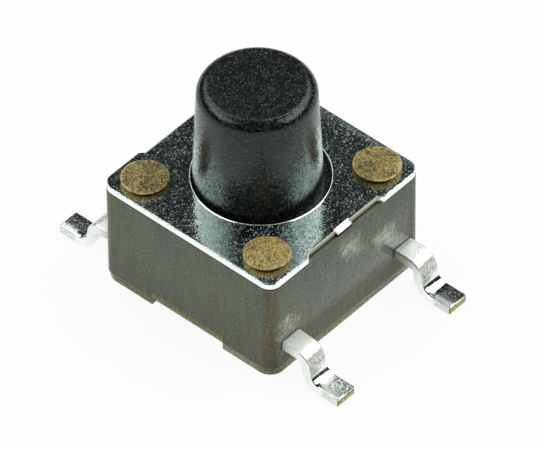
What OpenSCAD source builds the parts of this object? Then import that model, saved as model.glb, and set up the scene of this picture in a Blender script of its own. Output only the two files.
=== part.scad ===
// Tactile push button switch, surface-mount, with four gull-wing leads.
// X runs along the leads, Y along each row of leads, Z points up from the board.
// The origin is on the board, under the middle of the switch. Sizes are in millimetres.

/* [Housing] */
// Side of the square housing and of its cover
body_w = 6; // [5:0.05:9]
// Height of the housing from its feet to the cover
body_h = 3.25; // [2.7:0.01:5]
// Height of the feet above the board
seat_gap = 0.02; // [0.02:0.01:0.1]
// Radius of the housing's upright corners
corner_r = 0.35; // [0.1:0.01:0.6]
// Width of the raised middle of the base, between the feet
arch_w = 2.5; // [1:0.05:3]
// Height of the raised middle of the base above the feet
arch_h = 0.25; // [0.1:0.01:0.4]
// Wall left beside the well that holds the button's flange
side_wall = 0.65; // [0.5:0.01:0.8]
// Width of the ledge between the well and the pocket of the snap dome
ledge_w = 0.55; // [0.4:0.01:0.7]
// Space under the flange when the button is fully pressed
ledge_gap = 0.3; // [0.1:0.01:0.4]
// Space around each lead where it leaves the wall
lead_relief = 0.04; // [0.02:0.01:0.06]
// Depth of that space into the wall
lead_relief_depth = 0.12; // [0.05:0.01:0.3]

/* [Posts] */
// Distance from the sides with leads to the middle of a post
post_inset_x = 0.85; // [0.7:0.01:1]
// Distance from the plain sides to the middle of a post
post_inset_y = 0.8; // [0.7:0.01:1]
// Diameter of the posts that pass through the cover
post_d = 0.8; // [0.5:0.01:1]
// Diameter of the staked heads
head_d = 1.31; // [1.1:0.01:1.6]
// Height of a head's lower rim above the cover
head_lift = 0.13; // [0.05:0.01:0.15]
// Thickness of a head at its rim
head_rim = 0.03; // [0.02:0.01:0.1]
// Rise of a head's crown above its rim
head_crown = 0.06; // [0.05:0.01:0.15]

/* [Cover] */
// Thickness of the cover plate
cover_t = 0.18; // [0.12:0.01:0.3]
// Radius of the cover's corners
cover_r = 0.37; // [0.1:0.01:0.6]
// Clearance between a post and its hole
post_gap = 0.03; // [0.01:0.01:0.1]
// Width of the notch in the two sides with leads
notch_w = 2.7; // [2:0.05:3]
// Depth of the notch
notch_depth = 0.14; // [0.08:0.01:0.2]
// Slant of the notch's shoulders along the side
notch_slant = 0.16; // [0.05:0.01:0.25]
// Width of the sheared stub in the middle of the notch on the +X side
stub_w = 0.58; // [0.3:0.01:1]
// How far the stub stays behind the side of the cover
stub_back = 0.06; // [0.01:0.01:0.06]
// How far the stub slopes down to its end
stub_drop = 0.08; // [0.02:0.01:0.1]

/* [Button] */
// Width of the rim that keeps the button under the cover
flange_lip = 0.405; // [0.33:0.005:0.5]
// Clearance between the button's flange and the well
flange_gap = 0.2; // [0.15:0.01:0.3]
// Clearance between the button and the hole in the cover
button_gap = 0.14; // [0.1:0.01:0.25]
// Share of that clearance by which the loose button rests to one side
button_lean = 0.8; // [0:0.05:0.85]
// Height of the button above the cover
button_rise = 3.25; // [0.6:0.05:10]
// Draft angle of the button's side
button_draft = 2.5; // [0:0.1:3]
// Radius of the button's top edge
button_edge_r = 0.33; // [0.05:0.01:0.4]
// Thickness of the flange
flange_t = 0.5; // [0.3:0.01:0.6]
// Clearance between the core under the flange and the pocket
core_gap = 0.4; // [0.3:0.01:0.5]
// Diameter of the nub that presses the snap dome
nub_d = 1.3; // [0.8:0.05:1.6]
// Height of the nub
nub_h = 0.4; // [0.2:0.01:0.5]
// Travel of the button
travel = 0.25; // [0.15:0.01:0.3]
// Play of the button above its flange and below its nub
play = 0.02; // [0.01:0.01:0.05]

/* [Snap dome] */
// Thickness of the dome
dome_t = 0.07; // [0.05:0.01:0.1]
// Clearance between the dome and its pocket
dome_gap = 0.05; // [0.03:0.01:0.1]

/* [Terminals] */
// Thickness of the sheet
lead_t = 0.28; // [0.2:0.01:0.35]
// Width of a lead
lead_w = 0.68; // [0.5:0.01:0.85]
// Distance from the plain sides to the middle of a lead
lead_inset = 0.75; // [0.6:0.01:0.9]
// Height of a lead's upper face where it leaves the wall
lead_h = 1.15; // [0.95:0.01:1.4]
// Distance from the wall to the end of a lead
lead_reach = 1.94; // [1.6:0.01:2.4]
// Straight run of a lead before its upper bend
lead_run = 0.53; // [0.4:0.01:0.65]
// Steepness of the middle of a lead
lead_angle = 78; // [60:1:85]
// Inner radius of the upper bend
bend_top_r = 0.12; // [0.05:0.01:0.15]
// Inner radius of the lower bend
bend_foot_r = 0.32; // [0.2:0.01:0.4]
// Width of each arm under the rim of the dome
arm_w = 0.6; // [0.4:0.01:0.75]
// Length of an arm past the middle of the switch
arm_past = 1.1; // [0.6:0.05:1.2]
// Width of the tongue that carries the centre contact
tongue_w = 0.8; // [0.5:0.05:0.9]
// Diameter of the centre contact
contact_d = 0.9; // [0.6:0.05:1]
// Height of the centre contact above the floor
contact_proud = 0.03; // [0.01:0.01:0.05]

/* [Hidden] */
$fn = 64;
eps = 0.01;

half_w = body_w / 2;
cover_z = seat_gap + body_h;
top_z = cover_z + cover_t;
button_top_z = top_z + button_rise;

// The well, the flange and the button follow each other inwards from the side wall.
well_r = half_w - side_wall;
flange_r = well_r - flange_gap;
button_r = flange_r - flange_lip;
hole_r = button_r + button_gap;
pocket_r = well_r - ledge_w;
core_r = pocket_r - core_gap;
dome_r = pocket_r - dome_gap;
button_x = -button_lean * button_gap;

// The dome gives way by the travel, then meets the centre contact.
dome_rise = travel - play + contact_proud;
dome_sphere_r = (dome_r * dome_r + dome_rise * dome_rise) / (2 * dome_rise);
nub_z = lead_h + dome_rise + dome_t + play;
core_z = nub_z + nub_h;
flange_z = cover_z - play - flange_t;
ledge_z = flange_z - travel - ledge_gap;

post_x = half_w - post_inset_x;
post_y = half_w - post_inset_y;
lead_y = half_w - lead_inset;
arm_x = dome_r - arm_w / 2;

// Side view of a lead: a bend down, a steep straight and a bend back to the foot.
bend_steps = 16;
bend_top_mid = bend_top_r + lead_t / 2;
bend_foot_mid = bend_foot_r + lead_t / 2;
bend_drop = (bend_top_mid + bend_foot_mid) * (1 - cos(lead_angle));
steep_len = (lead_h - lead_t - bend_drop) / sin(lead_angle);
bend_x = half_w + lead_run;
foot_x = bend_x + (bend_top_mid + bend_foot_mid) * sin(lead_angle) + steep_len * cos(lead_angle);

// Centre line of the sheet from the first bend to the lead's end: [x, z, slope down]
lead_path = concat(
    [for (i = [0:bend_steps]) let (a = lead_angle * i / bend_steps)
        [bend_x + bend_top_mid * sin(a), lead_h - lead_t / 2 - bend_top_mid * (1 - cos(a)), a]],
    [for (i = [bend_steps:-1:0]) let (a = lead_angle * i / bend_steps)
        [foot_x - bend_foot_mid * sin(a), lead_t / 2 + bend_foot_mid * (1 - cos(a)), a]],
    [[half_w + lead_reach, lead_t / 2, 0]]);

// The sheet's upper face (side 1) or lower face (side -1) along that line
function lead_face(side) =
    [for (p = lead_path) [p[0], p[1]] + side * lead_t / 2 * [sin(p[2]), cos(p[2])]];
function mirrored(points) = [for (p = points) [-p[0], p[1]]];
function reversed(points) = [for (i = [len(points) - 1:-1:0]) points[i]];

module rounded_square(w, r) {
    square([w - 2 * r, w], center = true);
    square([w, w - 2 * r], center = true);
    for (x = [-1, 1], y = [-1, 1])
        translate([x * (w / 2 - r), y * (w / 2 - r)]) circle(r);
}

module at_posts() {
    for (x = [-1, 1], y = [-1, 1])
        translate([x * post_x, y * post_y, 0]) children();
}

// The strip that crosses the housing with a lead at each end; side is -1 or 1
module lead_strip(side) {
    upper = lead_face(1);
    lower = lead_face(-1);
    translate([0, side * lead_y, 0]) rotate([90, 0, 0]) linear_extrude(lead_w, center = true)
        polygon(concat(upper, reversed(lower), mirrored(lower), reversed(mirrored(upper))));
}

module outer_terminal_form() {
    lead_strip(-1);
    for (x = [-1, 1])
        translate([x * arm_x - arm_w / 2, -lead_y, lead_h - lead_t])
            cube([arm_w, lead_y + arm_past, lead_t]);
}

// The tongue is coined to half the sheet, so that the floor covers it.
module centre_terminal_form() {
    lead_strip(1);
    translate([-tongue_w / 2, 0, lead_h - lead_t]) cube([tongue_w, lead_y, lead_t / 2]);
    translate([0, 0, lead_h - lead_t]) cylinder(d = contact_d, h = lead_t + contact_proud);
}

// A post, and its head staked over the cover
module post() {
    translate([0, 0, cover_z - eps]) cylinder(d = post_d, h = cover_t + head_lift);
    crown_r = (pow(head_d / 2, 2) + pow(head_crown, 2)) / (2 * head_crown);
    rim_z = top_z + head_lift + head_rim;
    rotate_extrude() {
        polygon([[0, top_z], [post_d / 2 + post_gap + eps, top_z],
            [head_d / 2, top_z + head_lift], [head_d / 2, rim_z], [0, rim_z]]);
        intersection() {
            translate([0, rim_z + head_crown - crown_r]) circle(crown_r, $fn = 180);
            translate([0, rim_z - eps]) square([head_d / 2, head_crown + 2 * eps]);
        }
    }
}

module housing() {
    color("#5b5546") {
        difference() {
            translate([0, 0, seat_gap]) linear_extrude(body_h) rounded_square(body_w, corner_r);
            translate([0, 0, ledge_z]) cylinder(r = well_r, h = body_h);
            translate([0, 0, lead_h]) cylinder(r = pocket_r, h = body_h);
            translate([-arch_w / 2, -body_w, seat_gap - 1]) cube([arch_w, 2 * body_w, 1 + arch_h]);
            outer_terminal_form();
            centre_terminal_form();
            for (x = [-1, 1], y = [-1, 1])
                translate([x * half_w, y * lead_y, lead_h - lead_t / 2])
                    cube([2 * lead_relief_depth, lead_w + 2 * lead_relief, lead_t + 2 * lead_relief],
                        center = true);
        }
        at_posts() post();
    }
}

module notch() {
    outer = notch_w / 2 + notch_slant;
    polygon([[half_w - notch_depth, -notch_w / 2], [half_w, -outer], [body_w, -outer],
        [body_w, outer], [half_w, outer], [half_w - notch_depth, notch_w / 2]]);
}

// What is left of the strip that carried the cover through the press
module stub() {
    root_x = half_w - 2 * notch_depth;
    end_x = half_w - stub_back;
    rotate([90, 0, 0]) linear_extrude(stub_w, center = true)
        polygon([[root_x, cover_z], [end_x, cover_z], [end_x, top_z - stub_drop],
            [half_w - notch_depth, top_z], [root_x, top_z]]);
}

module cover() {
    color("#9aa09c") {
        translate([0, 0, cover_z]) linear_extrude(cover_t) difference() {
            rounded_square(body_w, cover_r);
            circle(hole_r);
            at_posts() circle(d = post_d + 2 * post_gap);
            notch();
            mirror([1, 0]) notch();
        }
        stub();
    }
}

module button() {
    edge_z = button_top_z - button_edge_r;
    edge_side_r = button_r - (edge_z - top_z) * tan(button_draft);
    edge_x = edge_side_r - button_edge_r / cos(button_draft);
    tangent = [edge_x, edge_z] + button_edge_r * [cos(button_draft), sin(button_draft)];
    flange_top = cover_z - play;
    foot_r = button_r + (top_z - flange_top) * tan(button_draft);
    color("#26282a") translate([button_x, 0, 0]) {
        rotate_extrude() {
            polygon([[0, flange_z], [foot_r, flange_z], [foot_r, flange_top], tangent,
                [edge_x, edge_z], [edge_x, button_top_z], [0, button_top_z]]);
            translate([edge_x, edge_z]) circle(button_edge_r);
        }
        translate([0, 0, flange_z]) cylinder(r = flange_r, h = flange_t);
        translate([0, 0, core_z]) cylinder(r = core_r, h = flange_z - core_z + eps);
        translate([0, 0, nub_z]) cylinder(d = nub_d, h = nub_h + eps);
    }
}

module snap_dome() {
    color("#c9ccc9") translate([0, 0, lead_h]) rotate_extrude() intersection() {
        translate([0, dome_rise - dome_sphere_r]) difference() {
            circle(dome_sphere_r + dome_t, $fn = 360);
            circle(dome_sphere_r, $fn = 360);
        }
        square([dome_r, dome_rise + 2 * dome_t]);
    }
}

module outer_terminal() {
    color("#d8dad6") outer_terminal_form();
}

module centre_terminal() {
    color("#d8dad6") centre_terminal_form();
}

housing();
cover();
button();
snap_dome();
outer_terminal();
centre_terminal();
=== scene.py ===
"""Looks of a surface-mount tactile push button switch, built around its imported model.

X runs along the leads, Y along each row of leads, and Z points up from the board. Pieces are
shaped in millimetres and shrunk to the frame's metres as the last step.
"""
import math
import random

import bmesh
import bpy
from mathutils import Matrix, Vector


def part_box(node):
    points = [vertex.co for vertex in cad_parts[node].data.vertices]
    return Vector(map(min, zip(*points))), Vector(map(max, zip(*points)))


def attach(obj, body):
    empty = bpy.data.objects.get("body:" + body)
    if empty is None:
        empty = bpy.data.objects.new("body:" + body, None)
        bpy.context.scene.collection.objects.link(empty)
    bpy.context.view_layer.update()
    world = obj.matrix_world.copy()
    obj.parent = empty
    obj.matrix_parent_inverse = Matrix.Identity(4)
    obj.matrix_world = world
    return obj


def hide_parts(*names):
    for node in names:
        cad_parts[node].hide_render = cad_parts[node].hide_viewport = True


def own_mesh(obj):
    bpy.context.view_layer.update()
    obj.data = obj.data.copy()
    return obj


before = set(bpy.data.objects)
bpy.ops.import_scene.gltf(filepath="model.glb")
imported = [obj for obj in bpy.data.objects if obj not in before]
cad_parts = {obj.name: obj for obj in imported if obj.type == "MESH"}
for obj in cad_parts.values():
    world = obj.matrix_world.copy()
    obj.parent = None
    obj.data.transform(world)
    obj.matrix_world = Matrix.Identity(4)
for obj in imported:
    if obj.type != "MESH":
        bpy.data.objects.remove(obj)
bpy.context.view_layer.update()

# ---------------------------------------------------------------- sizes, in millimetres

MM = 0.001


def corners(node):
    """The low and high corners of a CAD node's box."""
    low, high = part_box(node)
    return low / MM, high / MM


housing_low, housing_high = corners("housing")
cover_low, cover_high = corners("cover")
button_low, button_high = corners("button")
dome_low, dome_high = corners("snap_dome")
outer_high = corners("outer_terminal")[1]

HALF = housing_high.x                 # half the side of the square housing
SEAT_Z = housing_low.z                # underside of the housing's feet
COVER_Z = cover_low.z                 # underside of the cover
TOP_Z = cover_high.z                  # upper face of the cover
LEAD_TOP = dome_low.z                 # upper face of the leads inside the housing
BUTTON_X = (button_low.x + button_high.x) / 2
FLANGE_R = (button_high.x - button_low.x) / 2
DOME_R = dome_high.x
TIP_X = outer_high.x

CORNER_R = 0.35
COVER_CORNER_R = 0.37
FOOT_STEP = 0.01                      # how far the housing's foot stands back from its walls
FOOT_H = 0.22
ARCH_W = 2.5                          # the opening under the walls without leads
ARCH_H = 0.25
WELL_R = 2.35                         # the well holds the button's flange, and the pocket the dome
LEDGE_Z = 2.2
POCKET_R = 1.8
SLOT_GAP = 0.016                      # round each lead where it leaves the wall
SLOT_DEPTH = 0.12
HOLE_R = 1.885                        # the cover's round hole
LIP_W = 0.03                          # the raised edge round that hole
POST_R = 0.4
POST_X = 2.15
POST_Y = 2.2
POST_GAP = 0.03                       # round each post in the cover
HEAD_R = 0.655
HEAD_SIZES = (1.0, 1.0, 0.965, 1.01)  # each head's spread, in the order of at_posts()
HEAD_UNDER_Z = 0.08                   # from the cover's top to the underside of a staked head
HEAD_RIM_Z = 0.16                     # from the cover's top to the edge of a staked head
BUTTON_R = 1.745
BUTTON_EDGE_R = 0.33
BUTTON_DRAFT = math.radians(2.5)
FLANGE_H = 0.5
FLANGE_GAP = 0.02                     # between the flange and the cover over it
CORE_R = 1.4
NUB_R = 0.65
NUB_H = 0.4
DOME_SHEET = 0.07                     # thickness of the dome
LEAD_Y = 2.25
LEAD_W = 0.68
SHEET = 0.28                          # thickness of the terminals
NOTCH_W = 2.7
NOTCH_DEPTH = 0.14
NOTCH_SLANT = 0.16
STUB_W = 0.58
STUB_BACK = 0.06                      # from the housing's wall to the stub's end
STUB_DROP = 0.08                      # from the cover's top to the stub's end
STUB_FOLD_X = HALF - NOTCH_DEPTH - 0.07
CENTRE_R = 0.05                       # the smallest ring of a turned piece, closed with a flat face


# ---------------------------------------------------------------- mesh tools

def mesh_object(name, vertices, faces):
    mesh = bpy.data.meshes.new(name)
    mesh.from_pydata(vertices, [], faces)
    made = bpy.data.objects.new(name, mesh)
    bpy.context.scene.collection.objects.link(made)
    return made


def loft(name, rings):
    """A closed solid through rings of equally many points, with a flat face at each end."""
    count = len(rings[0])
    last = (len(rings) - 1) * count
    faces = [tuple(reversed(range(count)))]
    for below in range(0, last, count):
        above = below + count
        for i in range(count):
            after = (i + 1) % count
            faces.append((below + i, below + after, above + after, above + i))
    faces.append(tuple(range(last, last + count)))
    return mesh_object(name, [point for ring in rings for point in ring], faces)


def circle(radius, z, segments, centre=(0, 0)):
    return [(centre[0] + radius * math.cos(a), centre[1] + radius * math.sin(a), z)
            for a in (math.tau * i / segments for i in range(segments))]


def arc(centre, radius, start, end, steps):
    """Points (across, up) along an arc; angles in degrees."""
    angles = [math.radians(start + (end - start) * i / steps) for i in range(steps + 1)]
    return [(centre[0] + radius * math.cos(a), centre[1] + radius * math.sin(a)) for a in angles]


def rounded_rectangle(width, depth, radius, steps):
    """Points (x, y) anticlockwise round a rectangle with round corners."""
    x, y = width / 2 - radius, depth / 2 - radius
    points = []
    for quarter, centre in enumerate([(x, y), (-x, y), (-x, -y), (x, -y)]):
        points += arc(centre, radius, 90 * quarter, 90 * quarter + 90, steps)
    return points


def inset(points, distance):
    """The closed outline (x, y), anticlockwise, moved inwards by a distance at each corner."""
    moved = []
    for i, point in enumerate(points):
        here = Vector(point)
        before = (here - Vector(points[i - 1])).normalized()
        after = (Vector(points[(i + 1) % len(points)]) - here).normalized()
        normal = Vector((-before.y - after.y, before.x + after.x)).normalized()
        across = Vector((-before.y, before.x))
        # The limit keeps a sharp corner from moving far
        moved.append(here + normal * distance / max(normal.dot(across), 0.3))
    return [tuple(point) for point in moved]


def combine(target, tool, operation):
    """Cuts the tool from the target, or joins it on, and removes the tool."""
    modifier = target.modifiers.new("combine", "BOOLEAN")
    modifier.operation = operation
    modifier.solver = "EXACT"
    modifier.object = tool
    apply_modifiers(target)
    bpy.data.objects.remove(tool)


def apply_modifiers(target):
    graph = bpy.context.evaluated_depsgraph_get()
    graph.update()
    mesh = bpy.data.meshes.new_from_object(target.evaluated_get(graph))
    target.modifiers.clear()
    target.data = mesh


def bevel(target, width, segments, angle=35):
    modifier = target.modifiers.new("bevel", "BEVEL")
    modifier.width = width
    modifier.segments = segments
    modifier.limit_method = "ANGLE"
    modifier.angle_limit = math.radians(angle)
    modifier.use_clamp_overlap = True
    apply_modifiers(target)


def block(low, high):
    """A cutting or joining box between two corners."""
    (x0, y0, z0), (x1, y1, z1) = low, high
    return loft("block", [[(x0, y0, z), (x1, y0, z), (x1, y1, z), (x0, y1, z)] for z in (z0, z1)])


def lathe(name, profile, segments, centre=(0, 0)):
    """The solid turned from (radius, z) points, listed from the underside round to the top."""
    return loft(name, [circle(r, z, segments, centre) for r, z in profile])


def finished(piece, body, node, materials, smooth=32):
    """Smooths edges of up to that many degrees, shrinks to metres, hangs the piece on its body and hides
    its CAD node.
    """
    mesh = piece.data
    mesh.polygons.foreach_set("use_smooth", [True] * len(mesh.polygons))
    mesh.set_sharp_from_angle(angle=math.radians(smooth))
    mesh.transform(Matrix.Scale(MM, 4))
    for made in materials:
        mesh.materials.append(made)
    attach(piece, body)
    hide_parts(node)
    return piece


# ---------------------------------------------------------------- material tools

def give(tree, socket, value):
    """Sets a socket to a value, or links another node's output to it."""
    if isinstance(value, bpy.types.NodeSocket):
        tree.links.new(value, socket)
    else:
        socket.default_value = value


def add(tree, kind, inputs=None, **settings):
    """A shader node, with its settings, and its inputs given as values or as other nodes' outputs."""
    node = tree.nodes.new("ShaderNode" + kind)
    for name, value in settings.items():
        setattr(node, name, value)
    for name, value in (inputs or {}).items():
        give(tree, node.inputs[name], value)
    return node


def shader_input(shader, key):
    """The shader's socket for a plain key, such as "Base Color" for base_color."""
    return shader.inputs[key.replace("_", " ").title().replace("Ior", "IOR")]


def new_material(name, **constants):
    """A material, its tree, its shader with its constants set, and the surface point in mm."""
    made = bpy.data.materials.new(name)
    made.use_nodes = True
    tree = made.node_tree
    shader = tree.nodes["Principled BSDF"]
    for key, value in constants.items():
        give(tree, shader_input(shader, key), value)
    place = add(tree, "TexCoord").outputs["Object"]
    point = add(tree, "VectorMath", {0: place, "Scale": 1 / MM}, operation="SCALE").outputs[0]
    return made, tree, shader, point


def link(tree, shader, **outputs):
    for key, output in outputs.items():
        give(tree, shader_input(shader, key), output)


def stretched(tree, point, scale):
    """The point scaled along each axis, which draws out a noise where the scale is low."""
    return add(tree, "Mapping", {"Vector": point, "Scale": scale}).outputs[0]


def position(tree, point):
    """The x, y and z of a point."""
    split = add(tree, "SeparateXYZ", {0: point})
    return [split.outputs[axis] for axis in "XYZ"]


def noise(tree, point, scale, detail=2.0, roughness=0.5, distortion=0.0):
    """Cloud noise from 0 to 1 whose features are about 1 / scale millimetres wide."""
    return add(tree, "TexNoise", {"Vector": point, "Scale": scale, "Detail": detail,
                                  "Roughness": roughness, "Distortion": distortion}).outputs["Fac"]


def remap(tree, value, low, high, to_low=0.0, to_high=1.0):
    """The value carried from low..high to the new range, and held at that range's ends."""
    return add(tree, "MapRange", {"Value": value, "From Min": low, "From Max": high,
                                  "To Min": to_low, "To Max": to_high}).outputs[0]


def maths(tree, operation, first, second=0.0):
    return add(tree, "Math", {0: first, 1: second}, operation=operation).outputs[0]


def absolute(tree, value):
    return maths(tree, "ABSOLUTE", value)


def plus(tree, first, second):
    return maths(tree, "ADD", first, second)


def minus(tree, first, second):
    return maths(tree, "SUBTRACT", first, second)


def more_than(tree, value, limit):
    """1 where the value is above the limit, and 0 elsewhere."""
    return maths(tree, "GREATER_THAN", value, limit)


def less_than(tree, value, limit):
    return maths(tree, "LESS_THAN", value, limit)


def chained(tree, operation, values):
    """All the values put together, two at a time, by one operation."""
    result = values[0]
    for value in values[1:]:
        result = maths(tree, operation, result, value)
    return result


def product(tree, *values):
    return chained(tree, "MULTIPLY", values)


def largest(tree, *values):
    return chained(tree, "MAXIMUM", values)


def within(tree, value, low, high, soft):
    """1 where the value lies between two limits, fading over soft on both sides of each."""
    return product(tree, remap(tree, value, low - soft, low + soft),
                   remap(tree, value, high + soft, high - soft))


def from_axis(tree, x, y):
    """Distance of x and y from the upright axis through zero."""
    return maths(tree, "SQRT", plus(tree, product(tree, x, x), product(tree, y, y)))


def mix(tree, factor, first, second):
    """The first colour at factor 0 and the second at 1; a plain colour is three numbers."""
    node = add(tree, "Mix", data_type="RGBA")
    sockets = {socket.identifier: socket for socket in node.inputs}
    give(tree, sockets["Factor_Float"], factor)
    for name, colour in (("A_Color", first), ("B_Color", second)):
        give(tree, sockets[name], (*colour, 1) if isinstance(colour, tuple) else colour)
    return next(socket for socket in node.outputs if socket.identifier == "Result_Color")


def coats(tree, shade, *layers):
    """The shade with each layer, a factor and a colour, laid over it in turn."""
    for factor, colour in layers:
        shade = mix(tree, factor, shade, colour)
    return shade


def bump(tree, height, depth, normal=None):
    """A bump whose height of 1 stands that many millimetres proud."""
    inputs = {"Height": height, "Distance": depth * MM, "Strength": 1.0}
    if normal is not None:
        inputs["Normal"] = normal
    return add(tree, "Bump", inputs).outputs[0]


def crystals(tree, point, scale):
    """A random colour, even all over each cell; the cells are about 1 / scale millimetres wide."""
    return add(tree, "TexVoronoi", {"Vector": point, "Scale": scale}).outputs["Color"]


def cell_share(tree, cells):
    """A random number from 0 to 1 for each cell."""
    return add(tree, "SeparateColor", {0: cells}).outputs["Green"]


def facets(tree, cells, mild, strong, normal):
    """The normal tipped at random in each cell, by something between mildly and strongly."""
    share = add(tree, "SeparateColor", {0: cells}).outputs["Blue"]
    amount = remap(tree, share, 0.3, 1.0, mild, strong)
    centred = add(tree, "VectorMath", {0: cells, 1: (0.5, 0.5, 0.5)}, operation="SUBTRACT").outputs[0]
    tip = add(tree, "VectorMath", {0: centred, "Scale": amount}, operation="SCALE").outputs[0]
    tipped = add(tree, "VectorMath", {0: normal, 1: tip}, operation="ADD").outputs[0]
    return add(tree, "VectorMath", {0: tipped}, operation="NORMALIZE").outputs[0]


# ---------------------------------------------------------------- materials

# Colours are linear red, green and blue. The first ones are the housing's.
# The first two are the skin with a painted grey-green sheen, standing in for the pale floor mirrored in
# the walls
SKIN_AND_SHEEN = (0.067, 0.083, 0.043)
PALE_SKIN_AND_SHEEN = (0.096, 0.118, 0.066)
BROWN_SKIN = (0.105, 0.086, 0.036)
COOL_SKIN = (0.062, 0.098, 0.072)
OLIVE_SKIN = (0.03, 0.034, 0.003)
GOLDEN_FOOT = (0.095, 0.085, 0.02)
BROWN_CORNER = (0.11, 0.062, 0.008)
PALE_STREAK = (0.15, 0.135, 0.08)
DARK_STREAK = (0.04, 0.055, 0.035)
PALE_GRAIN = (0.21, 0.21, 0.12)
DARK_GRAIN = (0.02, 0.02, 0.012)
DULL_GILT = (0.24, 0.19, 0.02)
BRIGHT_GILT = (0.62, 0.54, 0.16)
FOOT_SHADOW = (0.03, 0.024, 0.01)
LEDGE_GOLD = (0.13, 0.105, 0.04)
# The next three paint the leads' reflections in the glossy walls: a pale patch with dark and pale streaks
PAINTED_LEAD_REFLECTION = (0.55, 0.56, 0.41)
DARK_REFLECTION_STREAK = (0.05, 0.05, 0.022)
PALE_REFLECTION_STREAK = (1.0, 1.0, 0.84)
# Painted shade in the crevices under the cover
GROOVE_SHADE = (0.016, 0.014, 0.008)

LEAD_REFLECTIONS = ((0.15, 2.65), (1.5, 2.0), (-2.35, 1.5))   # middles of the painted reflections of the leads: (along wall, up)
LEAD_REFLECTION_HALF_W = 0.22
LEAD_REFLECTION_HALF_H = 0.17
LEAD_REFLECTION_FADE = 0.3


def painted_lead_reflections(tree, point, along_wall, height):
    """Ragged patches of painted reflection of the leads on the walls with leads: 1 and more inside them.
    """
    patches = [product(tree,
                       within(tree, along_wall, y - LEAD_REFLECTION_HALF_W, y + LEAD_REFLECTION_HALF_W, LEAD_REFLECTION_FADE),
                       within(tree, height, z - LEAD_REFLECTION_HALF_H, z + LEAD_REFLECTION_HALF_H, LEAD_REFLECTION_FADE))
               for y, z in LEAD_REFLECTIONS]
    ragged = noise(tree, stretched(tree, point, (4.0, 4.0, 7.0)), 1.0, 3.0, 0.7)
    return product(tree, largest(tree, *patches), remap(tree, ragged, 0.4, 0.52, 0.25, 1.3))


def slanted_reflection_streaks(tree, point):
    """Fine streaks that all run the same way across the walls with leads, breaking up their painted
    reflections.
    """
    slanted = add(tree, "Mapping", {"Vector": point, "Rotation": (math.radians(-35), 0, 0),
                                    "Scale": (0.1, 0.09, 0.32)}, vector_type="TEXTURE").outputs[0]
    return noise(tree, slanted, 1.0, 4.0, 0.7)


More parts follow.
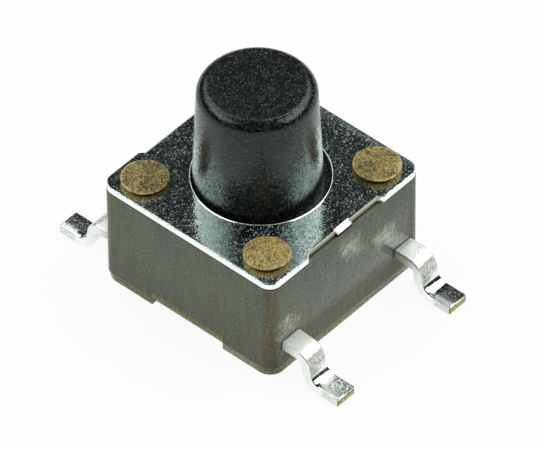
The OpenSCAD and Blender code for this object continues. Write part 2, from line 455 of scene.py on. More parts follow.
def moulded_plastic():
    """Glossy resin with a grey-green skin that is partly painted sheen, painted reflections of the leads
    in places, and gold along its foot and seams.
    """
    made, tree, shader, point = new_material("moulded_plastic", ior=1.6,
                                             specular_tint=(0.78, 1.0, 0.96, 1))
    x, y, z = position(tree, point)
    clouds = noise(tree, point, 0.8, 4.0, 0.6)
    tints = noise(tree, point, 0.45, 3.0, 0.6)
    mottle = noise(tree, point, 4.0, 3.0, 0.6)
    grain = noise(tree, point, 15.0, 3.0, 0.7)
    streaks = noise(tree, stretched(tree, point, (5.0, 5.0, 0.8)), 1.0, 3.0, 0.6)
    ripples = noise(tree, stretched(tree, point, (7.0, 7.0, 2.5)), 1.0, 2.0, 0.5, 1.2)
    # How far, in millimetres, the borders between the colours wander
    wobble = remap(tree, mottle, 0.3, 0.7, -0.1, 0.1)
    wide_wobble = product(tree, wobble, 1.5)
    # Runs the other way on the left wall, which is the right one turned half round
    along_wall = plus(tree, product(tree, y, maths(tree, "SIGN", x)), wide_wobble)
    height = minus(tree, z, wide_wobble)
    lead_reflection = painted_lead_reflections(tree, point, along_wall, height)
    reflection_streaks = slanted_reflection_streaks(tree, point)

    # Places on the housing
    on_lead_wall = more_than(tree, absolute(tree, x), HALF - 0.1)
    lead_wall_shade = remap(tree, along_wall, -2.0, 1.5, 0.0, 0.6)
    near_corner = plus(tree, maths(tree, "MINIMUM", absolute(tree, x), absolute(tree, y)), wobble)
    over_arch = product(tree, less_than(tree, absolute(tree, x), ARCH_W / 2),
                        more_than(tree, absolute(tree, y), HALF - 0.1))
    above_edge = minus(tree, z, product(tree, over_arch, ARCH_H))
    lip = product(tree, remap(tree, above_edge, 0.3, 0.05), remap(tree, mottle, 0.35, 0.55, 0.5, 0.9))
    seam = product(tree, within(tree, z, FOOT_H, FOOT_H + 0.035, 0.012), minus(tree, 1.0, over_arch))
    gilt = mix(tree, remap(tree, grain, 0.48, 0.56), DULL_GILT, BRIGHT_GILT)
    on_ledge = more_than(tree, z, COVER_Z - 0.004)
    # Painted shade: a dark line in the crevice at the foot of each notch, and along the walls just under
    # the cover
    crevice_shade = product(tree, on_ledge, less_than(tree, absolute(tree, x), HALF - NOTCH_DEPTH + 0.035))
    shade_under_cover = product(tree, within(tree, z, COVER_Z - 0.035, COVER_Z + 0.01, 0.008),
                          more_than(tree, absolute(tree, y), NOTCH_W / 2 + NOTCH_SLANT))
    groove_shade = largest(tree, crevice_shade, shade_under_cover)

    # The skin's grey-green is partly painted sheen, standing in for the pale floor mirrored in the walls
    skin = mix(tree, remap(tree, clouds, 0.35, 0.65), SKIN_AND_SHEEN, PALE_SKIN_AND_SHEEN)
    shade = coats(tree, skin,
                  (remap(tree, tints, 0.5, 0.66, 0.0, 0.7), BROWN_SKIN),
                  (remap(tree, tints, 0.48, 0.36, 0.0, 0.5), COOL_SKIN),
                  (product(tree, on_lead_wall, lead_wall_shade), OLIVE_SKIN),
                  # Painted reflection: browner toward the bottom and at the corners, where the walls
                  # mirror less of the pale floor
                  (remap(tree, plus(tree, z, wobble), 1.3, 0.25), GOLDEN_FOOT),
                  (remap(tree, near_corner, HALF - 0.42, HALF - 0.2), BROWN_CORNER),
                  (remap(tree, streaks, 0.5, 0.64, 0.0, 0.35), PALE_STREAK),
                  (remap(tree, streaks, 0.48, 0.36, 0.0, 0.35), DARK_STREAK),
                  (remap(tree, grain, 0.51, 0.64, 0.0, 0.6), PALE_GRAIN),
                  (remap(tree, grain, 0.47, 0.34, 0.0, 0.7), DARK_GRAIN),
                  (largest(tree, lip, seam), gilt),
                  (within(tree, z, FOOT_H - 0.05, FOOT_H - 0.02, 0.012), FOOT_SHADOW),
                  (on_ledge, LEDGE_GOLD),
                  # Painted reflections of the leads in the glossy walls: pale patches with dark and pale
                  # streaks
                  (product(tree, lead_reflection, 0.95), PAINTED_LEAD_REFLECTION),
                  (product(tree, lead_reflection, remap(tree, reflection_streaks, 0.48, 0.41)), DARK_REFLECTION_STREAK),
                  (product(tree, lead_reflection, remap(tree, reflection_streaks, 0.5, 0.59, 0.0, 0.95)), PALE_REFLECTION_STREAK),
                  # Painted shade in the crevices under the cover
                  (groove_shade, GROOVE_SHADE))
    rippled = product(tree, ripples, remap(tree, lead_reflection, 0.0, 1.0, 0.15, 1.0))
    link(tree, shader,
         base_color=shade,
         specular_ior_level=remap(tree, height, 0.3, 1.9, 0.33, 0.5),
         roughness=largest(tree, remap(tree, clouds, 0.3, 0.7, 0.08, 0.14),
                           product(tree, largest(tree, groove_shade, on_ledge), 0.6)),
         normal=bump(tree, rippled, 0.03, bump(tree, mottle, 0.012, bump(tree, grain, 0.004))))
    return made


BURNT_GOLD = (0.105, 0.078, 0.007)
STAKED_GOLD = (0.23, 0.15, 0.032)
# Paler gold, laid on toward the head at +X, -Y
FRONT_GOLD = (0.55, 0.4, 0.12)
PALE_FIBRE = (0.6, 0.48, 0.17)
DARK_FIBRE = (0.09, 0.055, 0.004)
PALE_FLECK = (0.7, 0.58, 0.22)
DARK_FLECK = (0.03, 0.018, 0.003)
RIM_GOLD = (0.66, 0.58, 0.26)
# The next two are painted light on each head's flank, which lies in shade over the cover, and painted
# shade deeper under the head
PAINTED_LIT_AMBER = (1.0, 0.56, 0.18)
UNDERSIDE_SHADE = (0.3, 0.11, 0.02)


def staked_plastic():
    """The same resin where hot staking has left it golden and flecked, with a paler rim."""
    made, tree, shader, point = new_material("staked_plastic", ior=1.5)
    x, y, z = position(tree, point)
    fibres = noise(tree, point, 5.0, 5.0, 0.7, 0.8)
    patches = noise(tree, point, 1.9, 3.0, 0.6)
    share = cell_share(tree, crystals(tree, point, 28.0))
    from_post = from_axis(tree, minus(tree, absolute(tree, x), POST_X),
                          minus(tree, absolute(tree, y), POST_Y))
    rim = within(tree, from_post, HEAD_R - 0.05, HEAD_R + 0.1, 0.012)
    rim_z = TOP_Z + HEAD_RIM_Z
    under_z = TOP_Z + HEAD_UNDER_Z
    # Paler gold toward the head at +X, -Y
    paler_to_front = remap(tree, minus(tree, x, y), 0.0, 2 * POST_Y, 0.0, 0.3)
    gold = mix(tree, remap(tree, patches, 0.42, 0.56), BURNT_GOLD, STAKED_GOLD)
    shade = coats(tree, gold,
                  (paler_to_front, FRONT_GOLD),
                  (remap(tree, fibres, 0.49, 0.6, 0.0, 0.6), PALE_FIBRE),
                  (remap(tree, fibres, 0.46, 0.37, 0.0, 0.45), DARK_FIBRE),
                  (remap(tree, share, 0.6, 1.0, 0.0, 0.65), PALE_FLECK),
                  (remap(tree, share, 0.4, 0.0, 0.0, 0.75), DARK_FLECK),
                  (product(tree, rim, remap(tree, fibres, 0.4, 0.6, 0.1, 0.7)), RIM_GOLD),
                  # Painted light on the flank below each head's edge, and painted shade deeper under the
                  # head
                  (remap(tree, z, rim_z - 0.01, rim_z - 0.03), PAINTED_LIT_AMBER),
                  (remap(tree, z, under_z - 0.014, under_z - 0.024), UNDERSIDE_SHADE))
    link(tree, shader,
         base_color=shade,
         roughness=remap(tree, share, 0.0, 1.0, 0.4, 0.6),
         normal=bump(tree, fibres, 0.03, bump(tree, share, 0.006)))
    return made


BRIGHT_TIN = (0.97, 1.0, 0.97)
FACE_TIN = (0.56, 0.7, 0.65)
PALE_FACE_TIN = (0.7, 0.84, 0.79)
DARK_FACE_CELL = (0.22, 0.29, 0.26)
# Cut steel, darker than the tin, and darker still inside the hole as painted shade
CUT_STEEL_AND_SHADE = (0.25, 0.26, 0.23)
# The next three paint light and shade on the notch's cut wall
NOTCH_TOP_SHADE = (0.5, 0.54, 0.44)
NOTCH_WALL_LIGHT = (0.85, 0.9, 0.74)
NOTCH_FOOT_SHADE = (0.05, 0.05, 0.03)
# The fold's grey and the stub's side grey are painted shade, standing in for rounded edges
FOLD_SHADE = (0.6, 0.6, 0.62)
STUB_WHITE = (0.92, 0.91, 0.95)
STUB_GREY = (0.5, 0.49, 0.51)
STUB_SIDE_SHADE = (0.3, 0.31, 0.33)


def cover_metal():
    """Tinned steel: a dark mirror with a fine sparkle, matte in its notches and round its hole."""
    made, tree, shader, point = new_material("cover_metal")
    x, y, z = position(tree, point)
    off_middle = absolute(tree, y)
    radius = from_axis(tree, x, y)
    clouds = noise(tree, point, 1.3, 3.0)
    mottle = noise(tree, point, 9.0, 3.0)
    cells = crystals(tree, point, 27.0)
    share = cell_share(tree, cells)
    dusty = remap(tree, share, 0.62, 1.0)

    # Places on the cover
    stub_end_z = TOP_Z - STUB_DROP - 0.004
    on_top = remap(tree, z, TOP_Z - 0.004, TOP_Z - 0.002)
    far_border = remap(tree, y, HALF - 0.3, HALF - 0.1, 0.0, 0.09)
    rim = remap(tree, radius, HOLE_R + 0.022, HOLE_R + 0.012, 0.0, 0.5)
    in_hole = product(tree, less_than(tree, radius, HOLE_R), less_than(tree, z, TOP_Z - 0.02))
    on_stub = less_than(tree, off_middle, STUB_W / 2 + 0.01)
    stub_end = product(tree, on_stub, less_than(tree, z, stub_end_z))
    stub_slope = product(tree, on_stub, remap(tree, x, STUB_FOLD_X, STUB_FOLD_X + 0.03),
                         more_than(tree, z, stub_end_z))
    in_notch = product(tree, less_than(tree, off_middle, NOTCH_W / 2 + NOTCH_SLANT / 2),
                       more_than(tree, off_middle, STUB_W / 2 + 0.01),
                       more_than(tree, absolute(tree, x), HALF - NOTCH_DEPTH - 0.03))

    face = coats(tree, mix(tree, remap(tree, clouds, 0.3, 0.7), FACE_TIN, PALE_FACE_TIN),
                 (remap(tree, share, 0.45, 0.1, 0.0, 0.75), DARK_FACE_CELL),
                 (more_than(tree, rim, 0.1), BRIGHT_TIN))
    # Painted light and shade on the notch's cut wall: dim at the top, bright lower down, dark at its foot
    notch_wall_light_and_shade = coats(tree, NOTCH_TOP_SHADE,
                       (remap(tree, z, TOP_Z - 0.02, COVER_Z + 0.05), NOTCH_WALL_LIGHT),
                       (remap(tree, z, COVER_Z + 0.035, COVER_Z + 0.02), NOTCH_FOOT_SHADE))
    # Painted shade on the stub's slope toward its sides and at its fold, standing in for rounded edges
    pressed = coats(tree, STUB_WHITE,
                    (remap(tree, mottle, 0.4, 0.62), STUB_GREY),
                    (remap(tree, off_middle, 0.12, STUB_W / 2, 0.0, 0.75), STUB_SIDE_SHADE))
    slope = mix(tree, remap(tree, x, STUB_FOLD_X + 0.03, STUB_FOLD_X + 0.1), FOLD_SHADE, pressed)
    shade = coats(tree, BRIGHT_TIN,
                  # Cut steel on the stub's end and inside the hole, where it is darkened as painted shade
                  (largest(tree, in_hole, stub_end), CUT_STEEL_AND_SHADE),
                  (in_notch, notch_wall_light_and_shade),
                  (product(tree, on_top, minus(tree, 1.0, in_notch)), face),
                  (stub_slope, slope))
    mirror = plus(tree, remap(tree, clouds, 0.3, 0.7, 0.1, 0.14), far_border)
    link(tree, shader,
         base_color=shade,
         metallic=minus(tree, 1.0, product(tree, on_top, dusty, dusty, 0.5)),
         roughness=largest(tree, mirror, rim, product(tree, stub_slope, 0.55),
                           product(tree, in_notch, 0.5)),
         normal=facets(tree, cells, 0.04, 0.13, bump(tree, product(tree, on_top, clouds), 0.004)))
    return made


RESIN_BLACK = (0.004, 0.0046, 0.0043)
RESIN_DARK_GREY = (0.008, 0.009, 0.0085)
PALE_DOT = (0.22, 0.235, 0.23)


def button_plastic():
    """Black resin with a spark-eroded, speckled skin that is calmer and glossier round its top edge."""
    made, tree, shader, point = new_material("button_plastic", ior=1.5,
                                             specular_tint=(0.74, 1.0, 1.0, 1))
    z = position(tree, point)[2]
    speckle = noise(tree, point, 15.0, 3.0, 0.7)
    clouds = noise(tree, point, 1.5, 3.0)
    cells = crystals(tree, point, 26.0)
    dotted = remap(tree, cell_share(tree, cells), 0.5, 1.0)
    edge = within(tree, z, button_high.z - BUTTON_EDGE_R, button_high.z - 0.03, 0.06)
    calm = remap(tree, edge, 0.0, 1.0, 1.0, 0.35)
    side_shine = remap(tree, z, button_high.z - 0.4, TOP_Z + 0.8, 0.37, 0.56)
    top_shine = remap(tree, z, button_high.z - 0.02, button_high.z - 0.005, 0.0, 0.5)
    black = mix(tree, remap(tree, clouds, 0.3, 0.7), RESIN_BLACK, RESIN_DARK_GREY)
    link(tree, shader,
         base_color=mix(tree, product(tree, dotted, dotted, dotted, 0.3), black, PALE_DOT),
         specular_ior_level=largest(tree, side_shine, top_shine),
         roughness=minus(tree, remap(tree, speckle, 0.35, 0.7, 0.11, 0.23), product(tree, edge, 0.08)),
         normal=facets(tree, cells, product(tree, calm, 0.1), product(tree, calm, 0.28),
                       bump(tree, speckle, 0.006)))
    return made


LEAD_TIN = (0.9, 0.94, 0.9)
PALE_LEAD_TIN = (0.97, 0.99, 0.96)
WORN_TIN = (0.24, 0.26, 0.13)
SPECKED_TIN = (0.42, 0.46, 0.34)
# Painted shade where each lead goes into its slot in the wall
MOUTH_SHADE = (0.02, 0.02, 0.012)
# Dull tin on the feet, deepened as painted shade toward their +Y edges
DULL_TIN_AND_SHADE = (0.2, 0.26, 0.22)
DULL_BRASS = (0.3, 0.26, 0.06)
BRIGHT_BRASS = (0.55, 0.5, 0.17)
TORN_BROWN = (0.04, 0.035, 0.015)


def tinned_brass():
    """Bright tin over brass sheet, matte down to the upper bend and polished in the lower one.

    The sheared ends show the brass below the tin that the shear dragged over them.
    """
    made, tree, shader, point = new_material("tinned_brass", metallic=1.0)
    x, y, z = position(tree, point)
    out = minus(tree, absolute(tree, x), HALF)
    aside = minus(tree, y, product(tree, maths(tree, "SIGN", y), LEAD_Y))
    off_middle = absolute(tree, aside)
    grain = noise(tree, point, 16.0, 3.0, 0.6)
    share = cell_share(tree, crystals(tree, point, 30.0))
    clouds = noise(tree, point, 2.2, 2.0)
    tear = noise(tree, point, 7.0, 2.0)
    streaks = noise(tree, stretched(tree, point, (1.2, 9.0, 1.2)), 1.0, 2.0)

    # Places along the lead, by the distance out from the housing's wall
    # Painted shade where the lead goes into its slot in the wall
    mouth_shade = remap(tree, out, 0.035, 0.005, 0.0, 0.75)
    near_wall = remap(tree, out, 0.3, 0.1, 0.0, 0.4)
    drawn = remap(tree, out, 0.58, 0.2)
    bent = within(tree, out, 0.1, 0.99, 0.02)
    polished = within(tree, out, 1.02, 1.4, 0.03)
    on_foot = within(tree, out, 1.38, 3.0, 0.05)
    upper_bend = product(tree, more_than(tree, out, 0.7), within(tree, z, 0.62, 0.9, 0.06))
    at_end = more_than(tree, out, TIP_X - HALF - 0.012)
    worn = product(tree, upper_bend, remap(tree, share, 0.35, 0.9, 0.25, 1.0),
                   less_than(tree, off_middle, LEAD_W / 2 - 0.03))
    # Dull cells on the feet, with painted shade deepening them toward each foot's +Y edge
    dull_and_edge_shade = product(tree, on_foot, remap(tree, share, 0.15, 0.85),
                   remap(tree, aside, -0.25, 0.1, 0.3, 1.0))
    dark_cell = remap(tree, share, 0.4, 0.0)
    dusty = product(tree, on_foot, dark_cell, dark_cell, 0.5)
    line = remap(tree, tear, 0.3, 0.7, SHEET * 0.58, SHEET * 0.74)
    bare = product(tree, at_end, less_than(tree, z, line))
    torn = product(tree, at_end, largest(tree, within(tree, minus(tree, line, z), -0.004, 0.03, 0.004),
                                         more_than(tree, off_middle, LEAD_W / 2 - 0.02)))

    foot_rough = plus(tree, remap(tree, share, 0.25, 1.0, 0.09, 0.28),
                      remap(tree, aside, -0.1, -0.3, 0.0, 0.3))
    bend_rough = remap(tree, grain, 0.35, 0.6, 0.32, 0.5)
    drawn_rough = remap(tree, y, -LEAD_Y, LEAD_Y, 0.5, 0.42)
    rough = coats(tree, foot_rough,
                  (bent, bend_rough),
                  (drawn, drawn_rough),
                  (polished, remap(tree, streaks, 0.4, 0.65, 0.06, 0.22)))
    brass = mix(tree, remap(tree, grain, 0.4, 0.6), DULL_BRASS, BRIGHT_BRASS)
    shade = coats(tree, mix(tree, remap(tree, clouds, 0.3, 0.7), LEAD_TIN, PALE_LEAD_TIN),
                  (product(tree, worn, 0.8), WORN_TIN),
                  (product(tree, near_wall, remap(tree, share, 0.5, 1.0)), SPECKED_TIN),
                  (mouth_shade, MOUTH_SHADE),
                  (dull_and_edge_shade, DULL_TIN_AND_SHADE),
                  (bare, brass),
                  (torn, TORN_BROWN))
    matte = largest(tree, dusty, product(tree, drawn, remap(tree, y, -LEAD_Y, LEAD_Y, 0.9, 0.2)))
    link(tree, shader,
         base_color=shade,
         metallic=minus(tree, 1.0, matte),
         roughness=rough,
         normal=bump(tree, product(tree, bent, grain), 0.006,
                     bump(tree, product(tree, minus(tree, 1.0, polished), grain), 0.0025)))
    return made


STEEL = (0.56, 0.57, 0.56)
PALE_STEEL = (0.68, 0.69, 0.68)


def spring_steel():
    """Bright spring steel with fine circular polishing."""
    made, tree, shader, point = new_material("spring_steel", metallic=1.0)
    wave = add(tree, "TexWave", {"Vector": point, "Scale": 4.0, "Distortion": 1.5, "Detail": 2.0},
               wave_type="RINGS", rings_direction="Z").outputs["Fac"]
    clouds = noise(tree, point, 2.0)
    link(tree, shader,
         base_color=mix(tree, clouds, STEEL, PALE_STEEL),
         roughness=remap(tree, wave, 0.0, 1.0, 0.18, 0.3),
         normal=bump(tree, wave, 0.002))
    return made


# ---------------------------------------------------------------- housing

def at_posts():
    return [(x * POST_X, y * POST_Y) for x in (-1, 1) for y in (-1, 1)]


def staked_head(centre, seed, size):
    """A post with its head spread over the cover, a little uneven as hot staking leaves it."""
    rng = random.Random(seed)
    phases = [rng.uniform(0, math.tau) for _ in range(4)]
    uneven = 0.012
    under_z = TOP_Z + HEAD_UNDER_Z
    rim_z = TOP_Z + HEAD_RIM_Z
    crown_z = housing_high.z
    profile = [(POST_R, COVER_Z - 0.2), (POST_R, TOP_Z - 0.02), (POST_R + 0.02, TOP_Z + 0.01),
               (HEAD_R - 0.09, under_z), (HEAD_R - 0.07, under_z + 0.012),
               (HEAD_R - 0.012, rim_z - 0.02), (HEAD_R, rim_z - 0.008),
               (HEAD_R - 0.002, rim_z + 0.004), (HEAD_R - 0.016, rim_z + 0.014)]
    crown_start = rim_z + 0.016
    for share in (0.93, 0.86, 0.75, 0.6, 0.45, 0.3, 0.15, 0.05):
        profile.append((HEAD_R * share, crown_start + (crown_z - crown_start) * (1 - share ** 2)))
    rings = []
    for radius, z in profile:
        ring = circle(radius, z, 96)
        if radius > POST_R + 0.1:
            for i, (x, y, _) in enumerate(ring):
                angle = math.atan2(y, x)
                waves = sum(math.sin((k + 2) * angle + p) / (k + 1) for k, p in enumerate(phases))
                swell = size + uneven * waves
                ring[i] = (x * swell, y * swell, z)
        rings.append([(centre[0] + x, centre[1] + y, z) for x, y, _ in ring])
    return loft("head", rings)


def housing_shell():
    """The moulding, with its well, arch and lead slots cut out and its four staked heads joined on."""
    foot_r = CORNER_R + 0.1
    # How far the wall stands back at each height, and the radius of its corners there
    levels = [(FOOT_STEP + 0.004, SEAT_Z, foot_r), (FOOT_STEP, SEAT_Z + 0.03, foot_r),
              (FOOT_STEP, SEAT_Z + FOOT_H - 0.02, foot_r), (0.002, SEAT_Z + FOOT_H - 0.004, CORNER_R),
              (0.0, SEAT_Z + FOOT_H + 0.015, CORNER_R), (0.002, SEAT_Z + FOOT_H + 0.04, CORNER_R),
              (0.002, COVER_Z - 0.03, CORNER_R), (0.008, COVER_Z - 0.013, CORNER_R),
              (0.022, COVER_Z, CORNER_R)]
    rings = []
    for step, z, radius in levels:
        outline = rounded_rectangle(2 * (HALF - step), 2 * (HALF - step), radius - step, 12)
        rings.append([(x, y, z) for x, y in outline])
    shell = loft("housing_shell", rings)
    well = [(POCKET_R, LEAD_TOP), (POCKET_R, LEDGE_Z), (WELL_R, LEDGE_Z), (WELL_R, COVER_Z + 1)]
    combine(shell, lathe("well", well, 128), "DIFFERENCE")
    arch = block((-ARCH_W / 2, -2 * HALF, SEAT_Z - 1), (ARCH_W / 2, 2 * HALF, SEAT_Z + ARCH_H))
    combine(shell, arch, "DIFFERENCE")
    for x in (-HALF, HALF):
        for y in (-LEAD_Y, LEAD_Y):
            slot = block((x - SLOT_DEPTH, y - LEAD_W / 2 - SLOT_GAP, LEAD_TOP - SHEET - SLOT_GAP),
                         (x + SLOT_DEPTH, y + LEAD_W / 2 + SLOT_GAP, LEAD_TOP + SLOT_GAP))
            combine(shell, slot, "DIFFERENCE")
    bevel(shell, width=0.01, segments=2)
    for seed, (centre, size) in enumerate(zip(at_posts(), HEAD_SIZES)):
        combine(shell, staked_head(centre, seed, size), "UNION")
    head_faces = [face.center.z > TOP_Z - 0.02 for face in shell.data.polygons]
    shell.data.polygons.foreach_set("material_index", [int(on_head) for on_head in head_faces])
    return finished(shell, "base", "housing", [moulded_plastic(), staked_plastic()])


# ---------------------------------------------------------------- cover

def cover_outline():
    """Anticlockwise outline: round corners, a notch on each side with leads, and the stub."""
    inner, outer = NOTCH_W / 2, NOTCH_W / 2 + NOTCH_SLANT
    floor_x = HALF - NOTCH_DEPTH
    edge = HALF - COVER_CORNER_R
    stub = [(floor_x, -STUB_W / 2), (HALF - STUB_BACK, -STUB_W / 2), (HALF - STUB_BACK, STUB_W / 2),
            (floor_x, STUB_W / 2)]
    right = [(HALF, -outer), (floor_x, -inner)] + stub + [(floor_x, inner), (HALF, outer)]
    left = [(-HALF, outer), (-floor_x, inner), (-floor_x, -inner), (-HALF, -outer)]
    points = arc((edge, -edge), COVER_CORNER_R, -90, 0, 12) + right
    points += arc((edge, edge), COVER_CORNER_R, 0, 90, 12)
    points += arc((-edge, edge), COVER_CORNER_R, 90, 180, 12) + left
    points += arc((-edge, -edge), COVER_CORNER_R, 180, 270, 12)
    return points


# Sections of the plate's edges, from the top face down: (inset from the edge, depth below the top)
SHEARED = [(0.09, 0.0), (0.022, 0.0), (0.0136, 0.0017), (0.0064, 0.0064), (0.0017, 0.0136),
           (0.0, 0.022), (0.0, 0.135), (0.006, 0.16), (0.004, 0.18)]
LIPPED = [(0.09, 0.0), (0.045, 0.0), (0.037, -0.006), (0.026, -0.013), (0.014, -0.014),
          (0.004, -0.007), (0.0, 0.004), (0.0, 0.05), (0.0, 0.135), (0.006, 0.16), (0.004, 0.18)]


def punched_plate(name, outline, holes, low_z, high_z):
    """A plate sheared to its outline, (x, y), with a raised lip round each hole."""
    mesh = bmesh.new()
    thickness = high_z - low_z
    top_edges, bottom_edges = [], []
    for points, sign in [(outline, 1)] + [(hole, -1) for hole in holes]:
        section = SHEARED if sign > 0 else LIPPED
        rings = []
        for distance, depth in section:
            z = high_z - depth * thickness / section[-1][1]
            rings.append([mesh.verts.new((x, y, z)) for x, y in inset(points, sign * distance)])
        for upper, lower in zip(rings, rings[1:]):
            for i in range(len(points)):
                after = (i + 1) % len(points)
                corners_of = [lower[i], lower[after], upper[after], upper[i]]
                mesh.faces.new(corners_of if sign > 0 else corners_of[::-1])
        for ring, edges in ((rings[0], top_edges), (rings[-1], bottom_edges)):
            edges += [mesh.edges.get((ring[i - 1], ring[i])) for i in range(len(ring))]
    for edges in (top_edges, bottom_edges):
        bmesh.ops.triangle_fill(mesh, use_beauty=True, edges=edges)
    bmesh.ops.recalc_face_normals(mesh, faces=mesh.faces)
    made = mesh_object(name, [], [])
    mesh.to_mesh(made.data)
    mesh.free()
    return made


def cover_plate():
    """The stamping, with the slope of its pressed stub cut off it."""
    holes = [[p[:2] for p in circle(HOLE_R - LIP_W / 2, 0, 192)]]
    holes += [[p[:2] for p in circle(POST_R + POST_GAP, 0, 48, centre)] for centre in at_posts()]
    plate = punched_plate("cover_plate", cover_outline(), holes, COVER_Z, TOP_Z)
    fall = STUB_DROP * (HALF - STUB_FOLD_X) / (HALF - STUB_BACK - STUB_FOLD_X)
    wedge = [(STUB_FOLD_X, TOP_Z), (HALF, TOP_Z - fall), (HALF, TOP_Z + 0.2),
             (STUB_FOLD_X, TOP_Z + 0.2)]
    rings = [[(x, y, z) for x, z in wedge] for y in (STUB_W / 2, -STUB_W / 2)]
    combine(plate, loft("stub_slope", rings), "DIFFERENCE")
    return finished(plate, "base", "cover", [cover_metal()], smooth=24)


# ---------------------------------------------------------------- button and dome

def button_radius(z):
    """Radius of the button's tapered side at a height."""
    return BUTTON_R + (TOP_Z - z) * math.tan(BUTTON_DRAFT)


def button_cap():
    edge_z = button_high.z - BUTTON_EDGE_R
    edge_r = button_radius(edge_z) - BUTTON_EDGE_R / math.cos(BUTTON_DRAFT)
    flange_top = COVER_Z - FLANGE_GAP
    flange_z = flange_top - FLANGE_H
    core_z = button_low.z + NUB_H
    fillet = arc((edge_r, edge_z), BUTTON_EDGE_R, math.degrees(BUTTON_DRAFT), 90, 12)
    profile = [(CENTRE_R, button_low.z), (NUB_R - 0.08, button_low.z), (NUB_R, button_low.z + 0.08),
               (NUB_R, core_z), (CORE_R - 0.06, core_z), (CORE_R, core_z + 0.06), (CORE_R, flange_z),
               (FLANGE_R - 0.05, flange_z), (FLANGE_R, flange_z + 0.05), (FLANGE_R, flange_top - 0.05),
               (FLANGE_R - 0.05, flange_top)]
    levels = 10
    for i in range(levels):
        z = flange_top + (fillet[0][1] - flange_top) * i / levels
        profile.append((button_radius(z), z))
    profile += fillet
    profile += [(radius, button_high.z) for radius in (edge_r - 0.03, edge_r / 2, CENTRE_R)]
    cap = lathe("button_cap", profile, 192, (BUTTON_X, 0))
    return finished(cap, "button", "button", [button_plastic()])


def snap_dome_disc():
    """A shallow dome, part of a sphere, lying on the terminals, built at rest; the real one flattens
    under the button.
    """
    rise = dome_high.z - dome_low.z - DOME_SHEET
    sphere = (DOME_R ** 2 + rise ** 2) / (2 * rise)
    count = 24
    radii = [0.03] + [DOME_R * (i + 1) / count for i in range(count)]
    under = [(r, LEAD_TOP + rise - sphere + math.sqrt(sphere ** 2 - r ** 2)) for r in radii]
    over = [(r, z + DOME_SHEET) for r, z in under]
    rim_mid = under[-1][1] + DOME_SHEET / 2
    rim = [(DOME_R - 0.02, under[-1][1]), (DOME_R, rim_mid), (DOME_R - 0.02, over[-1][1])]
    disc = lathe("snap_dome_disc", under[:-1] + rim + over[-2::-1], 128)
    finished(disc, "base", "snap_dome", [spring_steel()])
    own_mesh(disc)
    return disc


# ---------------------------------------------------------------- terminals

LEAD_RUN = 0.55                       # the nearly straight part beside the housing
LEAD_DIP = math.radians(5)            # the slope that part has gained where the bend starts
STEEP = math.radians(78)              # slope of the part between the two bends
TOP_BEND_R = 0.12 + SHEET / 2         # a bend's radius is its inner one and half the sheet
FOOT_BEND_R = 0.32 + SHEET / 2


def lead_path():
    """Middle of the sheet from the switch's centre to the right lead's end: (x, z, slope down)."""
    top_z = LEAD_TOP - SHEET / 2
    foot_z = SHEET / 2
    path = [(0.0, top_z, 0.0), (HALF - 0.3, top_z, 0.0)]
    run_steps = 4
    steps = 14
    for i in range(run_steps + 1):
        x = LEAD_RUN * i / run_steps
        path.append((HALF + x, top_z - LEAD_DIP * x * x / (2 * LEAD_RUN), LEAD_DIP * i / run_steps))
    bend_x, bend_z, _ = path[-1]
    for i in range(1, steps + 1):
        a = LEAD_DIP + (STEEP - LEAD_DIP) * i / steps
        path.append((bend_x + TOP_BEND_R * (math.sin(a) - math.sin(LEAD_DIP)),
                     bend_z - TOP_BEND_R * (math.cos(LEAD_DIP) - math.cos(a)), a))
    steep_x, steep_z, _ = path[-1]
    foot_drop = FOOT_BEND_R * (1 - math.cos(STEEP))
    foot_x = steep_x + (steep_z - foot_z - foot_drop) / math.tan(STEEP) + FOOT_BEND_R * math.sin(STEEP)
    for i in range(steps, -1, -1):
        a = STEEP * i / steps
        path.append((foot_x - FOOT_BEND_R * math.sin(a), foot_z + FOOT_BEND_R * (1 - math.cos(a)), a))
    path += [(TIP_X - 0.1, foot_z, 0.0), (TIP_X - 0.02, foot_z, 0.0)]
    return path


def sheet_section(shrink=0.0):
    """Section of the sheared strip, (across, up): rolled edges above, sharp ones below."""
    across, up = LEAD_W / 2 - shrink, SHEET / 2 - shrink
    roll, burr = 0.045, 0.012
    points = [(across - burr, -up), (across, -up + burr)]
    points += arc((across - roll, up - roll), roll, 0, 90, 4)
    points += [(-p[0], p[1]) for p in reversed(points)]
    return points


def lead_strip(side_y):
    """One strip from the left lead's end to the right one's, at the side of -Y or +Y."""
    path = lead_path()
    stations = [(x, z, a, 0.0) for x, z, a in path] + [(TIP_X, path[-1][1], 0.0, 0.016)]
    stations = [(-x, z, -a, s) for x, z, a, s in reversed(stations[1:])] + stations
    rings = []
    for x, z, a, shrink in stations:
        ring = []
        for across, up in sheet_section(shrink):
            ring.append((x + up * math.sin(a), side_y * LEAD_Y - across, z + up * math.cos(a)))
        rings.append(ring)
    return loft("strip", rings)


def outer_terminal_sheet():
    strip = lead_strip(-1)
    strip.name = "outer_terminal_sheet"
    arm_w = 0.6
    for x in (-1, 1):
        middle = x * (DOME_R - arm_w / 2)
        combine(strip, block((middle - arm_w / 2, -LEAD_Y, LEAD_TOP - SHEET),
                             (middle + arm_w / 2, outer_high.y, LEAD_TOP)), "UNION")
    return finished(strip, "base", "outer_terminal", [tinned_brass()])


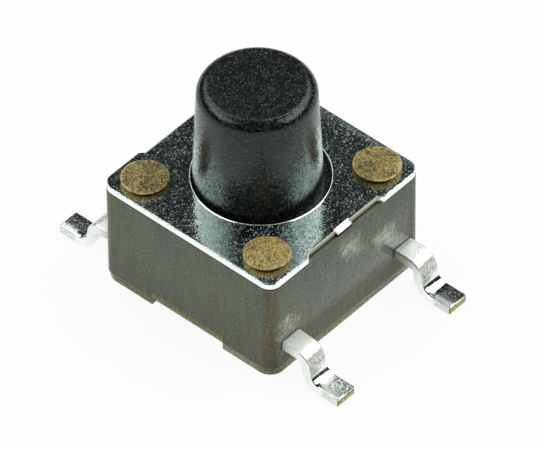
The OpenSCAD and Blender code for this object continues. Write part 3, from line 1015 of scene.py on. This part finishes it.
def centre_terminal_sheet():
    strip = lead_strip(1)
    strip.name = "centre_terminal_sheet"
    tongue_w, contact_r = 0.8, 0.45
    tongue = block((-tongue_w / 2, 0, LEAD_TOP - SHEET), (tongue_w / 2, LEAD_Y, LEAD_TOP - SHEET / 2))
    combine(strip, tongue, "UNION")
    # The contact starts a hair lower than the tongue, as faces in one plane don't join cleanly
    contact = [(contact_r, LEAD_TOP - SHEET - 0.001), (contact_r, LEAD_TOP),
               (contact_r - 0.1, LEAD_TOP + 0.03), (CENTRE_R, LEAD_TOP + 0.03)]
    combine(strip, lathe("contact", contact, 64), "UNION")
    return finished(strip, "base", "centre_terminal", [tinned_brass()])


# ---------------------------------------------------------------- set

CAMERA_AZIMUTH = 41.82                # angles of the camera and the softboxes are in degrees
CAMERA_ELEVATION = 45.08
CAMERA_ROLL = -0.524
CAMERA_DISTANCE = 264.06
CAMERA_ASIDE = 0.2344                 # the camera's shift along the picture, to the right and up
CAMERA_ABOVE = -1.3248
LENS = 666.7

SOFTBOX_ELEVATION = 50
SOFTBOX_DISTANCE = 300
SOFTBOX_SIZE = (190, 150)
SOFTBOXES = (("front", 87, 4.0), ("back", 138, 2.9))   # name, angle round from the camera, strength
SIDES = (("left", -1, 0.9), ("right", 1, 1.1))         # name, direction, share of the strength

ROOM = (0.017, 0.019, 0.019)
ROOM_START = 3                        # degrees above the horizon where the white starts to fade
ROOM_FULL = 5
FILL = 0.12                           # what matt surfaces receive from all round
TABLE_GREY = 0.85
TABLE_HALF = 900
TABLE_Z = -0.002                      # just under the leads' feet
TABLE_WHITE = 0.92                    # share of plain white in the table where it is seen directly


def direction(azimuth, elevation):
    """Unit vector from the switch; azimuth 0 is towards -Y, and 90 towards +X."""
    a, e = math.radians(azimuth), math.radians(elevation)
    return Vector((math.sin(a) * math.cos(e), -math.cos(a) * math.cos(e), math.sin(e)))


def add_camera():
    """Looks at the middle of the cover's top from the side of the front right lead."""
    back = direction(CAMERA_AZIMUTH, CAMERA_ELEVATION)
    level = Vector((0, 0, 1)).cross(back).normalized()
    upright = back.cross(level)
    roll = math.radians(CAMERA_ROLL)
    right = math.cos(roll) * level + math.sin(roll) * upright
    up = back.cross(right)
    target = Vector((0, 0, TOP_Z))
    place = target + CAMERA_DISTANCE * back + CAMERA_ASIDE * right + CAMERA_ABOVE * up
    data = bpy.data.cameras.new("camera")
    data.lens = LENS
    data.clip_start = 0.01
    camera = bpy.data.objects.new("camera", data)
    turned = Matrix((right, up, back)).transposed().to_4x4()
    camera.matrix_world = Matrix.Translation(place * MM) @ turned
    bpy.context.scene.collection.objects.link(camera)
    bpy.context.scene.camera = camera


def softbox(name, azimuth, strength):
    """An area light facing the switch; strength is the brightness of its face, 1 being white."""
    width, height = SOFTBOX_SIZE
    data = bpy.data.lights.new(name, "AREA")
    data.shape = "RECTANGLE"
    data.size = width * MM
    data.size_y = height * MM
    data.energy = strength * math.pi * width * height * MM * MM
    lamp = bpy.data.objects.new(name, data)
    away = direction(azimuth, SOFTBOX_ELEVATION)
    turned = away.to_track_quat("Z", "Y").to_matrix().to_4x4()
    lamp.matrix_world = Matrix.Translation(away * SOFTBOX_DISTANCE * MM) @ turned
    lamp.visible_camera = False
    bpy.context.scene.collection.objects.link(lamp)


def seen_directly(tree):
    """1 for camera, glossy and transmission rays, which show a surface as it is seen."""
    path = add(tree, "LightPath")
    kinds = ("Is Camera Ray", "Is Glossy Ray", "Is Transmission Ray")
    return largest(tree, *[path.outputs[kind] for kind in kinds])


def add_world():
    """White at the horizon, where the table ends, and a dim room above it."""
    world = bpy.data.worlds.new("studio")
    world.use_nodes = True
    tree = world.node_tree
    background = tree.nodes["Background"]
    ray = add(tree, "TexCoord").outputs["Generated"]
    height = add(tree, "SeparateXYZ", {0: ray}).outputs["Z"]
    fade = remap(tree, height, math.sin(math.radians(ROOM_START)), math.sin(math.radians(ROOM_FULL)))
    shown = mix(tree, fade, (1, 1, 1), ROOM)
    give(tree, background.inputs["Color"], mix(tree, seen_directly(tree), (FILL, FILL, FILL), shown))
    bpy.context.scene.world = world


def add_floor():
    """A pale table: white where the lamps reach it, with the switch's soft shadow."""
    reach = TABLE_HALF * MM
    edge = [(-reach, -reach), (reach, -reach), (reach, reach), (-reach, reach)]
    floor = mesh_object("floor", [(x, y, TABLE_Z * MM) for x, y in edge], [(0, 1, 2, 3)])
    made = bpy.data.materials.new("pale_table")
    made.use_nodes = True
    tree = made.node_tree
    tree.nodes.remove(tree.nodes["Principled BSDF"])
    grey = (TABLE_GREY, TABLE_GREY, TABLE_GREY, 1)
    matte = add(tree, "BsdfDiffuse", {"Color": grey}).outputs[0]
    glow = add(tree, "Emission", {"Color": (1, 1, 1, 1), "Strength": 1.0}).outputs[0]
    shown = product(tree, seen_directly(tree), TABLE_WHITE)
    surface = add(tree, "MixShader", {0: shown, 1: matte, 2: glow}).outputs[0]
    give(tree, tree.nodes["Material Output"].inputs["Surface"], surface)
    floor.data.materials.append(made)


def add_set():
    add_camera()
    add_world()
    add_floor()
    for side, turn, share in SIDES:
        for place, angle, strength in SOFTBOXES:
            softbox(f"{side}_{place}_softbox", CAMERA_AZIMUTH + turn * angle, strength * share)
    bpy.context.scene.view_settings.view_transform = "Standard"


housing_shell()
cover_plate()
button_cap()
snap_dome_disc()
outer_terminal_sheet()
centre_terminal_sheet()
add_set()
